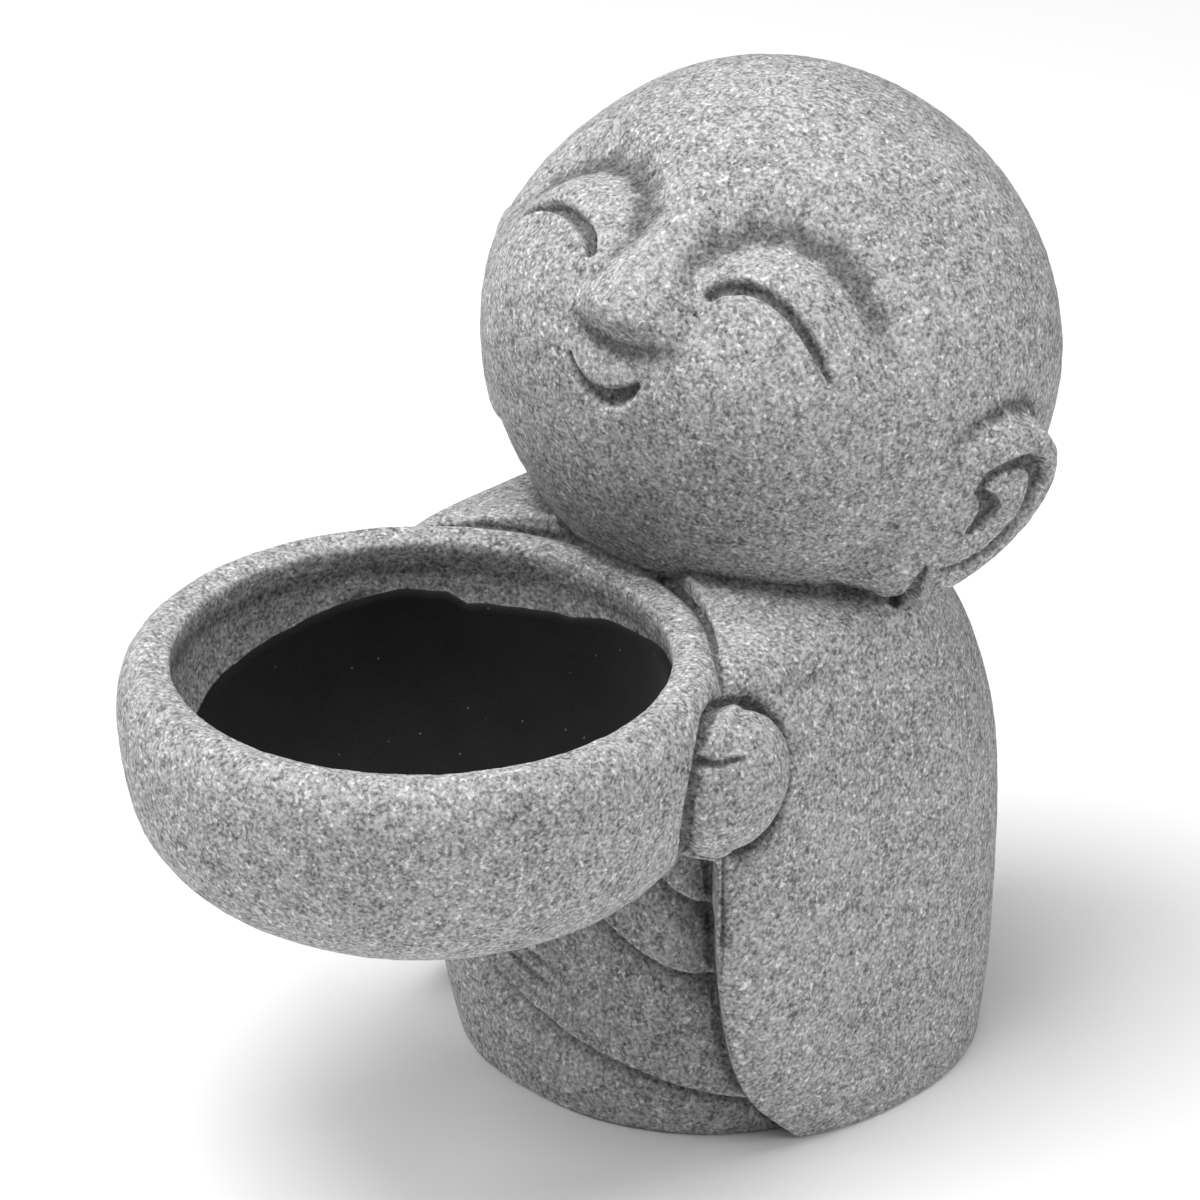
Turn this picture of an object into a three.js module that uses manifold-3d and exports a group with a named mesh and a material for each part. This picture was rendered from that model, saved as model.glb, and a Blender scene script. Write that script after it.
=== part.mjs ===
import * as THREE from "three";
import { mergeVertices } from "three/addons/utils/BufferGeometryUtils.js";
import Module from "manifold-3d";

// Small cast stone jizo holding a bowl, in millimetres. Z is up, the figure looks along -Y and its
// own left is +X. The origin is the middle of the foot, on the ground.
const FIGURE_HEIGHT = 180;

// Bowl: its axis, rim and wall. The hands, the pocket in the chest and the lining follow these.
const BOWL_AXIS_Y = -75.7;
const RIM_HEIGHT = 99.6;
const BOWL_RADIUS = 52.2;
const MOUTH_RADIUS = 42.9;
const LIP_ROUNDING = 1;
const LIP_DROP = 0.4;
const PLUG_DROP = 3;
const BOWL_DEPTH = 48;
const FLOOR_THICKNESS = 8;

// Lining: a thin black felt skin laid in the hollow.
const LINING_THICKNESS = 1;
const LINING_CLEARANCE = 0.3;

// Cloak and inner robe.
const CLOAK_OPENING_HALF = 44;

// Head pose in degrees: looking up, turned to its own left and leaned to its own left.
const LOOK_UP = 28;
const TURN = 8.5;
const LEAN = 6.4;

// Carving. A line's taper is 0 for square ends and 1 for long thin ones.
const EYE_LINE_WIDTH = 2.9;
const EYE_LINE_DEPTH = 1.5;
const EYE_LINE_TAPER = 0.4;
const MOUTH_LINE_WIDTH = 3.4;
const MOUTH_LINE_TAPER = 0.9;
const FOLD_STEP = 1.5;
const CUFF_LINE_WIDTH = 3;
const CUFF_LINE_DEPTH = 2;
const CUFF_LINE_TAPER = 0.5;
const POCKET_CLEARANCE = 0.8;
const POCKET_DEPTH = 3;
const POCKET_HEIGHT = 36;
const HOLLOW_OVERRUN = 2;

// Mesh fineness.
const HEAD_STEPS_ROUND = 48;
const HEAD_STEPS_UP = 31;
const BODY_STEPS_ROUND = 48;
const BOWL_STEPS_ROUND = 44;
const CLOAK_STEPS_UP = 16;
const HAND_STEPS_ROUND = 13;
const HAND_STEPS_UP = 9;
const ROBE_STEPS_UP = 8;
const ROD_STEPS_ROUND = 6;
const ROD_STEPS_ALONG = 11;
const EAR_FINENESS = 2;
const WELD = 1e-4;

const wasm = await Module();
wasm.setup();

const share = (part) => part * FIGURE_HEIGHT;
const radians = THREE.MathUtils.degToRad;

// A closed geometry as a solid, its welded triangles facing out.
function solidOf(geometry) {
  const bare = geometry.clone();
  bare.deleteAttribute("normal");
  bare.deleteAttribute("uv");
  const welded = mergeVertices(bare, WELD);
  const index = welded.index.array;
  const corners = [];
  for (let i = 0; i < index.length; i += 3) {
    const [a, b, c] = [index[i], index[i + 1], index[i + 2]];
    if (a !== b && b !== c && c !== a) corners.push(a, b, c);
  }
  const build = (list) =>
    new wasm.Manifold(
      new wasm.Mesh({
        numProp: 3,
        vertProperties: welded.attributes.position.array,
        triVerts: new Uint32Array(list),
      }),
    );
  const made = build(corners);
  return made.volume() < 0 ? build(corners.reverse()) : made;
}

// Moves every vertex of a geometry to where the function puts it.
function moveVertices(geometry, place) {
  const position = geometry.attributes.position;
  const v = new THREE.Vector3();
  for (let i = 0; i < position.count; i++) {
    v.fromBufferAttribute(position, i);
    const to = place(v);
    position.setXYZ(i, to.x, to.y, to.z);
  }
  return geometry;
}

// A value between the rows of a short list, eased so that the surface runs smoothly through them.
function between(rows, height, column) {
  const last = rows.length - 1;
  let i = 0;
  while (i < last - 1 && height > rows[i + 1][0]) i++;
  const [a, b] = [rows[i], rows[i + 1]];
  const t = THREE.MathUtils.clamp((height - a[0]) / (b[0] - a[0]), 0, 1);
  const slope = (j) => {
    const [p, q] = [rows[Math.max(j - 1, 0)], rows[Math.min(j + 1, last)]];
    return ((q[column] - p[column]) / (q[0] - p[0])) * (b[0] - a[0]);
  };
  const [t2, t3] = [t * t, t * t * t];
  return (
    a[column] * (2 * t3 - 3 * t2 + 1) +
    slope(i) * (t3 - 2 * t2 + t) +
    b[column] * (3 * t2 - 2 * t3) +
    slope(i + 1) * (t3 - t2)
  );
}

const bell = (x, width) => Math.exp(-((x / width) ** 2));

// A rod that tapers to both ends and follows a curve over a surface: the cutter for carved lines,
// and the body of an ear. The function "out" gives the way out of the surface at a point.
function bentRod(curve, out, width, depth, taper, fineness = 1) {
  const sphere = new THREE.SphereGeometry(
    1,
    ROD_STEPS_ROUND * fineness,
    ROD_STEPS_ALONG,
  );
  return solidOf(
    moveVertices(sphere, (v) => {
      const along = Math.acos(THREE.MathUtils.clamp(v.y, -1, 1)) / Math.PI;
      const middle = curve.getPoint(along);
      const tangent = curve.getTangent(along);
      const normal = out(middle);
      const side = new THREE.Vector3().crossVectors(tangent, normal).normalize();
      normal.crossVectors(side, tangent).normalize();
      const ring = Math.hypot(v.x, v.z) || 1;
      const swell = Math.sin(Math.PI * along) ** taper;
      return middle
        .addScaledVector(side, (v.x / ring) * swell * width)
        .addScaledVector(normal, (v.z / ring) * swell * depth);
    }),
  );
}

// Cloak and robe: rings stacked on the foot. Each row gives a height, the half width, the reach
// to the front and to the back of the ring's middle, and how square the front is, the first four
// in shares of the figure's height.
const RING_MIDDLE_Y = share(-0.022);
const BACK_SQUARENESS = 2.15;
const inShares = (rows) => rows.map(([h, w, f, b, n]) => [share(h), share(w), share(f), share(b), n]);
const CLOAK_ROWS = inShares([
  [0, 0.272, 0.257, 0.259, 2.25],
  [0.045, 0.276, 0.267, 0.266, 2.9],
  [0.125, 0.279, 0.267, 0.273, 4.6],
  [0.265, 0.28, 0.265, 0.276, 7],
  [0.36, 0.276, 0.268, 0.263, 7],
  [0.45, 0.263, 0.272, 0.228, 5.6],
  [0.505, 0.246, 0.268, 0.19, 5.6],
  [0.54, 0.227, 0.252, 0.15, 5.6],
  [0.562, 0.16, 0.17, 0.12, 4.2],
  [0.583, 0.07, 0.07, 0.07, 2.6],
]);
const ROBE_ROWS = inShares([
  [0, 0.256, 0.267, 0.24, 2.2],
  [0.06, 0.26, 0.266, 0.24, 2.6],
  [0.14, 0.263, 0.254, 0.24, 3.4],
  [0.26, 0.265, 0.242, 0.24, 4.6],
  [0.4, 0.265, 0.225, 0.24, 5],
]);

function ringRadius(rows, angle, height, outset) {
  const width = between(rows, height, 1) + outset;
  const front = Math.cos(angle) > 0;
  const reach = between(rows, height, front ? 2 : 3) + outset;
  const squareness = front ? between(rows, height, 4) : BACK_SQUARENESS;
  const sum =
    Math.abs(Math.sin(angle) / width) ** squareness +
    Math.abs(Math.cos(angle) / reach) ** squareness;
  return sum ** (-1 / squareness);
}

// A point of the skin: the angle is 0 at the front and grows to the figure's left.
function ringPoint(rows, angle, height, outset) {
  const radius = ringRadius(rows, angle, height, outset);
  return new THREE.Vector3(
    Math.sin(angle) * radius,
    RING_MIDDLE_Y - Math.cos(angle) * radius,
    height,
  );
}

function stackSolid(rows, outset, steps) {
  const top = rows[rows.length - 1][0];
  const profile = [new THREE.Vector2(0, 0)];
  for (let i = 0; i <= steps; i++) {
    profile.push(new THREE.Vector2(1, (top * i) / steps));
  }
  profile.push(new THREE.Vector2(0, top));
  const lathe = new THREE.LatheGeometry(profile, BODY_STEPS_ROUND);
  return solidOf(
    moveVertices(lathe, (v) => {
      const to = ringPoint(rows, Math.atan2(v.x, v.z), v.y, outset);
      const reach = Math.hypot(v.x, v.z);
      return new THREE.Vector3(to.x * reach, RING_MIDDLE_Y + (to.y - RING_MIDDLE_Y) * reach, v.y);
    }),
  );
}

const bodyOut = (p) => new THREE.Vector3(p.x, p.y - RING_MIDDLE_Y, 0).normalize();

// Head: a ball with a narrower jaw, moved out and in for nose, brow hollows and cheeks.
const HEAD_MIDDLE = new THREE.Vector3(0, share(0.0505), share(0.7295));
const HEAD_HALF_WIDTH = share(0.291);
const HEAD_HALF_DEPTH = share(0.277);
const HEAD_HALF_HEIGHT = share(0.274);

// Angles are in degrees, off the middle of the face and above its equator.
const NOSE = { height: share(0.03), bridge: 17, tip: -4, underside: 5, half: 3.6, flare: 2.4 };
const NOSE_AT_BRIDGE = 0.3;
const NOSE_BRIDGE_EASE = 3;
const BROW_HOLLOW = { depth: share(0.013), side: 29, up: 18, wide: 22, tall: 9 };
const CHEEK = { height: share(0.008), side: 27, up: -8, wide: 14, tall: 13 };
const FOREHEAD = { slope: share(0.014), up: 35, tall: 28, from: -0.2, to: 0.7 };
const JAW = { narrowing: 0.05, from: 5, to: 60 };

const headPose = new THREE.Matrix4()
  .makeRotationFromEuler(new THREE.Euler(radians(-LOOK_UP), radians(LEAN), radians(TURN), "ZYX"))
  .setPosition(HEAD_MIDDLE);

// The nose's height at an angle off the middle and an elevation, both in degrees.
function noseAt(side, elevation) {
  const { bridge, tip, underside, half, flare, height } = NOSE;
  const down = THREE.MathUtils.clamp((bridge - elevation) / (bridge - tip), 0, 1);
  const under = THREE.MathUtils.smoothstep(elevation, tip - underside, tip);
  const ease = Math.min(down * NOSE_BRIDGE_EASE, 1);
  const rise = NOSE_AT_BRIDGE + (1 - NOSE_AT_BRIDGE) * down;
  return height * rise * ease * under * bell(side, half + flare * down * down);
}

// A soft mound or dip of the face, the same on both sides.
const moundAt = (form, away, elevation) =>
  bell(away - form.side, form.wide) * bell(elevation - form.up, form.tall);

// A point of the face in the head's own frame: the first angle is 0 at the front and grows to
// the head's left, the second is the elevation, both in degrees.
function headPoint(side, elevation) {
  const away = Math.abs(side);
  const [a, e] = [radians(side), radians(elevation)];
  const narrow = 1 - JAW.narrowing * THREE.MathUtils.smoothstep(-elevation, JAW.from, JAW.to);
  const frontal = THREE.MathUtils.smoothstep(Math.cos(a) * Math.cos(e), FOREHEAD.from, FOREHEAD.to);
  const slope = FOREHEAD.slope * frontal * bell(elevation - FOREHEAD.up, FOREHEAD.tall);
  const hollow = BROW_HOLLOW.depth * moundAt(BROW_HOLLOW, away, elevation);
  const underEye = CHEEK.height * moundAt(CHEEK, away, elevation);
  const push = noseAt(side, elevation) - hollow + underEye - slope;
  const way = new THREE.Vector3(
    Math.sin(a) * Math.cos(e),
    -Math.cos(a) * Math.cos(e),
    Math.sin(e),
  );
  return new THREE.Vector3(
    way.x * (HEAD_HALF_WIDTH * narrow + push),
    way.y * (HEAD_HALF_DEPTH * narrow + push),
    way.z * (HEAD_HALF_HEIGHT + push),
  );
}

// More of the ball's meridians run down the face than down the back, and more of its rings
// lie at the height of the features than near the crown.
const CROWDING = 0.58;
const RING_CROWDING = 0.23;

function headSolid() {
  const ball = new THREE.SphereGeometry(1, HEAD_STEPS_ROUND, HEAD_STEPS_UP);
  return solidOf(
    moveVertices(ball, (v) => {
      const around = Math.atan2(v.x, v.z);
      const side = around - CROWDING * Math.sin(around);
      const level = Math.asin(THREE.MathUtils.clamp(v.y, -1, 1));
      const elevation = level - RING_CROWDING * Math.sin(2 * level);
      return headPoint(THREE.MathUtils.radToDeg(side), THREE.MathUtils.radToDeg(elevation));
    }),
  );
}

const headCurve = (points) =>
  new THREE.CatmullRomCurve3(points.map(([side, up]) => headPoint(side, up)));
const headOut = (p) => p.clone().normalize();

// Eyes: smiling arcs, blunt at the nose and long towards the temple.
const EYE_ARC = [
  [13.5, 7.5],
  [17.5, 10.4],
  [23, 11.2],
  [29.5, 9.8],
  [35.5, 6.4],
  [41.5, 1.6],
];
const MOUTH_ARC = [
  [-9, -15],
  [-5.5, -18.6],
  [0, -20.3],
  [5.5, -18.6],
  [9, -15],
];

function eyeCutter(sign) {
  return bentRod(
    headCurve(EYE_ARC.map(([side, up]) => [sign * side, up])),
    headOut,
    EYE_LINE_WIDTH / 2,
    EYE_LINE_DEPTH,
    EYE_LINE_TAPER,
  );
}

const mouthCutter = () =>
  bentRod(headCurve(MOUTH_ARC), headOut, MOUTH_LINE_WIDTH / 2, EYE_LINE_DEPTH, MOUTH_LINE_TAPER);

// Ears: long lobes that follow the side of the head, with a carved hollow.
const EAR_ARC = [
  [93, 9],
  [97, -1],
  [98, -12],
  [95, -28],
  [92, -45],
];
const EAR_HALF_WIDTH = share(0.058);
const EAR_HALF_THICKNESS = share(0.035);
const EAR_TAPER = 0.6;
const EAR_HOLLOW_ARC = [
  [88, -6],
  [95, -2],
  [99, -10],
  [97, -27],
];
const EAR_HOLLOW_WIDTH = 3.4;
const EAR_HOLLOW_TAPER = 0.5;

function earSolid(sign) {
  return bentRod(
    headCurve(EAR_ARC.map(([side, up]) => [sign * side, up])),
    headOut,
    EAR_HALF_WIDTH,
    EAR_HALF_THICKNESS,
    EAR_TAPER,
    EAR_FINENESS,
  );
}

function earHollow(sign) {
  const curve = new THREE.CatmullRomCurve3(
    EAR_HOLLOW_ARC.map(([side, up]) =>
      headPoint(sign * side, up).multiplyScalar(1 + EAR_HALF_THICKNESS / HEAD_HALF_WIDTH),
    ),
  );
  return bentRod(curve, headOut, EAR_HOLLOW_WIDTH / 2, EAR_HOLLOW_WIDTH / 2, EAR_HOLLOW_TAPER);
}

// Bowl: the outer turning. A share of 0 is the underside, 1 the rim.
const BOWL_BOTTOM = RIM_HEIGHT - BOWL_DEPTH;
const BOWL_PROFILE = [
  [0, 0],
  [0.38, 0.02],
  [0.555, 0.096],
  [0.728, 0.183],
  [0.855, 0.285],
  [0.942, 0.415],
  [0.983, 0.58],
  [1, 0.74],
  [0.993, 0.88],
  [0.957, 0.963],
  [0.91, 1],
  [0.86, 0.99],
];
// Hollow: shares of the mouth's radius and of the depth left above the floor.
const HOLLOW_PROFILE = [
  [0, 0],
  [0.42, 0.02],
  [0.72, 0.13],
  [0.9, 0.34],
  [0.985, 0.6],
  [1.012, 0.82],
  [1, 0.97],
];

function latheAt(profile, steps) {
  const lathe = new THREE.LatheGeometry(
    profile.map(([r, z]) => new THREE.Vector2(r, z)),
    steps,
  );
  lathe.rotateX(Math.PI / 2);
  lathe.translate(0, BOWL_AXIS_Y, 0);
  return lathe;
}

const FLOOR_HEIGHT = BOWL_BOTTOM + FLOOR_THICKNESS;

// How soon the inset takes hold going up the wall, and lets go of the floor.
const WALL_HOLD = 4;
const FLOOR_RELEASE = 1.6;

// The hollow's line, or the same line drawn in by the inset for what lies inside it.
function hollowLine(inset) {
  const depth = RIM_HEIGHT - FLOOR_HEIGHT;
  return HOLLOW_PROFILE.map(([r, h]) => [
    Math.max(r * MOUTH_RADIUS - inset * Math.min(1, h * WALL_HOLD), 0),
    FLOOR_HEIGHT + h * depth + inset * Math.max(1 - h * FLOOR_RELEASE, 0),
  ]);
}

// The turned bowl, closed below its rim until the hollow is cut.
function bowlSolid() {
  const outline = BOWL_PROFILE.map(([r, h]) => [r * BOWL_RADIUS, BOWL_BOTTOM + h * BOWL_DEPTH]);
  const plug = RIM_HEIGHT - PLUG_DROP;
  const line = [
    ...outline,
    [MOUTH_RADIUS + LIP_ROUNDING, RIM_HEIGHT - LIP_DROP],
    [MOUTH_RADIUS - LIP_ROUNDING, plug],
    [0, plug],
  ];
  return solidOf(latheAt(line, BOWL_STEPS_ROUND));
}

// The hollow as a solid, carried on straight above the rim.
function hollowSolid(inset) {
  const line = hollowLine(inset);
  const top = line[line.length - 1];
  const above = RIM_HEIGHT + HOLLOW_OVERRUN;
  return solidOf(latheAt([...line, [top[0], above], [0, above]], BOWL_STEPS_ROUND));
}

// Lining: laid in the hollow and trimmed by hand along a wavy edge below the rim, higher on the
// figure's left. The angle is 0 at the chest and grows to the figure's left.
const LINING_EDGE_DROP = 10.5;
const LINING_EDGE_TILT = 5;
const LINING_EDGE_WAVE = 1.2;
const LINING_HIGH_SIDE = 65;

function liningEdge(angle) {
  const tilt = LINING_EDGE_TILT * Math.cos(angle - radians(LINING_HIGH_SIDE));
  return RIM_HEIGHT - LINING_EDGE_DROP + tilt + LINING_EDGE_WAVE * Math.sin(3 * angle);
}

function liningSolid() {
  const trim = new THREE.CylinderGeometry(BOWL_RADIUS, BOWL_RADIUS, 1, BOWL_STEPS_ROUND);
  moveVertices(trim, (v) => {
    const edge = liningEdge(Math.atan2(v.x, v.z));
    const middle = RIM_HEIGHT - LINING_EDGE_DROP;
    const low = Math.hypot(v.x, v.z) > 1 ? edge : middle;
    return new THREE.Vector3(
      v.x,
      BOWL_AXIS_Y + v.z,
      v.y < 0 ? low : RIM_HEIGHT + 2 * HOLLOW_OVERRUN,
    );
  });
  return hollowSolid(LINING_CLEARANCE)
    .subtract(hollowSolid(LINING_CLEARANCE + LINING_THICKNESS))
    .subtract(solidOf(trim));
}

// Hands: a mitten of fingers under a thumb, laid on the bowl's side.
const HAND_ANGLE = 28.5;
const FINGERS = { height: 80, out: 3.4, round: 12.5, thick: 9, tall: 11.5 };
const THUMB = { height: 91, out: 1.5, round: 11, thick: 6.5, tall: 5.2 };

function handLobe(sign, lobe) {
  const ball = new THREE.SphereGeometry(1, HAND_STEPS_ROUND, HAND_STEPS_UP);
  ball.rotateX(Math.PI / 2);
  ball.scale(lobe.thick, lobe.round, lobe.tall);
  ball.rotateZ(sign * radians(HAND_ANGLE));
  const reach = BOWL_RADIUS + lobe.out;
  ball.translate(
    sign * reach * Math.cos(radians(HAND_ANGLE)),
    BOWL_AXIS_Y + reach * Math.sin(radians(HAND_ANGLE)),
    lobe.height,
  );
  return solidOf(ball);
}

// Folds of the inner robe: each layer is cut off along a slanting plane and lies over the next.
// A plane is a height at the front, and how far it falls to the left and rises to the back.
const UPPER_FOLD = { height: share(0.259), fall: 0.24, rise: 0 };
const LOWER_FOLD = { height: share(0.094), fall: 0.39, rise: 0.415 };
const FOLD_FRONT_Y = share(-0.289);

function robeLayer(outset, fold) {
  const layer = stackSolid(ROBE_ROWS, outset, ROBE_STEPS_UP);
  const normal = new THREE.Vector3(fold.fall, -fold.rise, 1);
  const offset = (fold.height - fold.rise * FOLD_FRONT_Y) / normal.length();
  return layer.trimByPlane(normal.normalize().toArray(), offset);
}

// Cuffs: a carved line where each hand comes out of its sleeve, as angles and heights.
const CUFF_ARC = [
  [42, 0.535],
  [49, 0.51],
  [54, 0.465],
  [56, 0.425],
  [54, 0.38],
  [49, 0.345],
];

function cuffCutter(sign) {
  const curve = new THREE.CatmullRomCurve3(
    CUFF_ARC.map(([angle, height]) => ringPoint(CLOAK_ROWS, sign * radians(angle), share(height), 0)),
  );
  return bentRod(curve, bodyOut, CUFF_LINE_WIDTH / 2, CUFF_LINE_DEPTH, CUFF_LINE_TAPER);
}

// The cloak's open front, and the same block a little larger for the robe that fills it.
const OPENING_FRONT_Y = share(-0.35);
const OPENING_BACK_Y = share(-0.08);
const OPENING_TOP = share(0.36);
const ROBE_TUCK = 1;

function openingSolid(grow) {
  const deep = OPENING_BACK_Y - OPENING_FRONT_Y + 2 * grow;
  const tall = OPENING_TOP + 2 * grow;
  const block = new THREE.BoxGeometry(2 * (CLOAK_OPENING_HALF + grow), deep, tall);
  block.translate(0, (OPENING_FRONT_Y + OPENING_BACK_Y) / 2, OPENING_TOP / 2);
  return solidOf(block);
}

function figureSolid() {
  const robe = stackSolid(ROBE_ROWS, 0, ROBE_STEPS_UP)
    .add(robeLayer(FOLD_STEP, LOWER_FOLD))
    .add(robeLayer(2 * FOLD_STEP, UPPER_FOLD))
    .intersect(openingSolid(ROBE_TUCK));
  let body = stackSolid(CLOAK_ROWS, 0, CLOAK_STEPS_UP).subtract(openingSolid(0)).add(robe);
  const pocket = new THREE.CylinderGeometry(
    BOWL_RADIUS + POCKET_CLEARANCE,
    BOWL_RADIUS + POCKET_CLEARANCE,
    POCKET_HEIGHT,
    BOWL_STEPS_ROUND,
  );
  pocket.rotateX(Math.PI / 2);
  pocket.translate(0, BOWL_AXIS_Y, RIM_HEIGHT - POCKET_DEPTH + POCKET_HEIGHT / 2);
  body = body.subtract(solidOf(pocket));
  let head = headSolid();
  for (const sign of [1, -1]) {
    body = body.subtract(cuffCutter(sign));
    head = head.add(earSolid(sign)).subtract(earHollow(sign)).subtract(eyeCutter(sign));
  }
  head = head.subtract(mouthCutter()).transform(headPose.elements);
  body = body.add(head).add(bowlSolid());
  for (const sign of [1, -1]) {
    body = body.add(handLobe(sign, FINGERS)).add(handLobe(sign, THUMB));
  }
  return body.subtract(hollowSolid(0));
}

// A named mesh from a solid.
function piece(name, solid, material) {
  const mesh = solid.getMesh();
  const geometry = new THREE.BufferGeometry();
  geometry.setAttribute("position", new THREE.BufferAttribute(mesh.vertProperties, mesh.numProp));
  geometry.setIndex(new THREE.BufferAttribute(mesh.triVerts, 1));
  geometry.computeVertexNormals();
  const made = new THREE.Mesh(geometry, material);
  made.name = name;
  return made;
}

const stone = new THREE.MeshStandardMaterial({ color: 0x9b9a97, roughness: 0.95 });
const felt = new THREE.MeshStandardMaterial({ color: 0x151515, roughness: 1 });

const group = new THREE.Group();
group.add(piece("jizo_figure", figureSolid(), stone));
group.add(piece("bowl_lining", liningSolid(), felt));
export default group;
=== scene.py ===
import math

import bpy
import numpy as np
from mathutils import Euler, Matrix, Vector


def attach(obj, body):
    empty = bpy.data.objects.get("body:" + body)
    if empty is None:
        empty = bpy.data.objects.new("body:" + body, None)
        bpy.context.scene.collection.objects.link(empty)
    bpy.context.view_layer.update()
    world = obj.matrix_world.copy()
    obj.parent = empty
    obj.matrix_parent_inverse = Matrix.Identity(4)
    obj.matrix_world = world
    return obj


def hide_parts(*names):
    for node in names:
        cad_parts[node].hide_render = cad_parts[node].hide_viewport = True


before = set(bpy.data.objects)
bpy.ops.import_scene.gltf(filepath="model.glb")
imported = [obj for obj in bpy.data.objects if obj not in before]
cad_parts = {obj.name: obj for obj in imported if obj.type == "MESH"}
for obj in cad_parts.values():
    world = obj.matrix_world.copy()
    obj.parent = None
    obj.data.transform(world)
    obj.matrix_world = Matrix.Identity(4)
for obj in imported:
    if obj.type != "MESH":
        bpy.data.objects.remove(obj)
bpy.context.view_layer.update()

# Camera. The photograph looks down on the figure from in front of its left hand, through a long
# lens. Places here are in metres, and the lens in millimetres.
AIM = Vector((-0.00364, -0.02932, 0.09119))
CAMERA_AZIMUTH = math.radians(45.45)
CAMERA_ELEVATION = math.radians(26.95)
CAMERA_DISTANCE = 1.144
LENS_LENGTH = 195

towards_camera = Vector((
    math.sin(CAMERA_AZIMUTH) * math.cos(CAMERA_ELEVATION),
    -math.cos(CAMERA_AZIMUTH) * math.cos(CAMERA_ELEVATION),
    math.sin(CAMERA_ELEVATION),
))
camera_data = bpy.data.cameras.new("Camera")
camera_data.lens = LENS_LENGTH
camera_data.clip_end = 20
camera = bpy.data.objects.new("Camera", camera_data)
camera.location = AIM + towards_camera * CAMERA_DISTANCE
camera.rotation_mode = "QUATERNION"
camera.rotation_quaternion = (-towards_camera).to_track_quat("-Z", "Y")
bpy.context.scene.collection.objects.link(camera)
bpy.context.scene.camera = camera

# Cloak and robe. The lower half of the cast stone figure: a cloak that falls open over a robe, whose
# layers lie over each other in slanting folds. Modelled as a ball whose points are pushed out to
# rings stacked on the foot. Sizes are in millimetres, or in shares of the figure's height.
MM = 0.001
HEIGHT = 180.0
RING_MIDDLE_Y = -0.022 * HEIGHT
BACK_SQUARENESS = 2.15
OPENING_HALF = 44.0
OPENING_TOP = 0.36 * HEIGHT
BOWL_AXIS_Y = -75.7
RIM_HEIGHT = 99.6
BOWL_RADIUS = 52.2
# the chest's wall behind the bowl, as heights and distances from the bowl's axis: inside the bowl's
# own wall below, and close round its rim above
CHEST_WALL = [
    (54, 22), (60, 34.5), (75, 46.5), (90, 50.5), (96, 51.5), (98, 50.9), (99.6, 50.6), (106, 50.6),
]
# height, half width, reach to the front and to the back, and squareness of the front
CLOAK_ROWS = [
    (0, 0.272, 0.257, 0.259, 2.25),
    (0.045, 0.276, 0.267, 0.266, 2.9),
    (0.125, 0.279, 0.267, 0.273, 4.6),
    (0.265, 0.28, 0.265, 0.276, 7),
    (0.36, 0.276, 0.268, 0.263, 7),
    (0.45, 0.263, 0.272, 0.228, 5.6),
    (0.505, 0.246, 0.268, 0.19, 5.6),
    (0.54, 0.227, 0.252, 0.15, 5.6),
    (0.562, 0.16, 0.17, 0.12, 4.2),
    (0.583, 0.07, 0.07, 0.07, 2.6),
]
ROBE_ROWS = [
    (0, 0.256, 0.267, 0.24, 2.2),
    (0.06, 0.26, 0.266, 0.24, 2.6),
    (0.14, 0.263, 0.254, 0.24, 3.4),
    (0.26, 0.265, 0.242, 0.24, 4.6),
    (0.4, 0.265, 0.225, 0.24, 5),
]
# a fold: how proud its layer lies, and the layer's lower edge as places (left, height)
FOLDS = [
    (2.5, [
        (-46, 37), (-25, 29), (-8, 22), (0, 19.5), (9, 17.2), (19, 15.9), (27, 14.4), (34, 12.3),
        (39, 10.2), (47, 8.4),
    ]),
    (2.9, [(-46, 60), (0, 49), (12, 44), (19, 41.4), (24, 39.6), (30, 37.8), (36, 36.2), (47, 34)]),
    (2.0, [(-46, 80), (12, 64), (25, 57), (30, 53.5), (35, 50.5), (40, 48), (47, 45)]),
]
FOLD_FADE = 15.0
FOLD_EDGE = 0.4
UNDERCUT_DEPTH = 1.7
UNDERCUT_GAP = 2.0
UNDERCUT_WIDTH = 3.2
PLEAT_DEPTH = 0.24
ROBE_DEPTH = 2.2
VALLEY_DEPTH = 13.0
VALLEY_WIDTH = 8.0
VALLEY_HEIGHTS = (4, 58)
CLOAK_EDGE = 0.35
FLAT_SHARE = 0.06


def smooth(value, low, high):
    """0 below low and 1 above high, with a soft step between them."""
    t = np.clip((value - low) / (high - low), 0, 1)
    return t * t * (3 - 2 * t)


def bell(value, width):
    """1 at zero, and falling off softly on both sides."""
    return np.exp(-((value / width) ** 2))


def through(rows, column, height):
    """A column of a list of rows, eased so that the surface runs smoothly through them."""
    x = np.array([row[0] for row in rows], float)
    y = np.array([row[column] for row in rows], float)
    last = len(x) - 1
    before = np.maximum(np.arange(last + 1) - 1, 0)
    after = np.minimum(np.arange(last + 1) + 1, last)
    slope = (y[after] - y[before]) / (x[after] - x[before])
    i = np.clip(np.searchsorted(x, height, side="right") - 1, 0, last - 1)
    step = x[i + 1] - x[i]
    t = np.clip((height - x[i]) / step, 0, 1)
    return (
        y[i] * (2 * t**3 - 3 * t**2 + 1)
        + slope[i] * step * (t**3 - 2 * t**2 + t)
        + y[i + 1] * (3 * t**2 - 2 * t**3)
        + slope[i + 1] * step * (t**3 - t**2)
    )


def ring_radius(rows, angle, height):
    """Distance from the ring's middle to the skin. The angle is 0 in front and grows to the left."""
    share = height / HEIGHT
    front = np.cos(angle) > 0
    width = through(rows, 1, share) * HEIGHT
    reach = np.where(front, through(rows, 2, share), through(rows, 3, share)) * HEIGHT
    squareness = np.where(front, through(rows, 4, share), BACK_SQUARENESS)
    total = np.abs(np.sin(angle) / width) ** squareness + np.abs(np.cos(angle) / reach) ** squareness
    return total ** (-1 / squareness)


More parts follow.
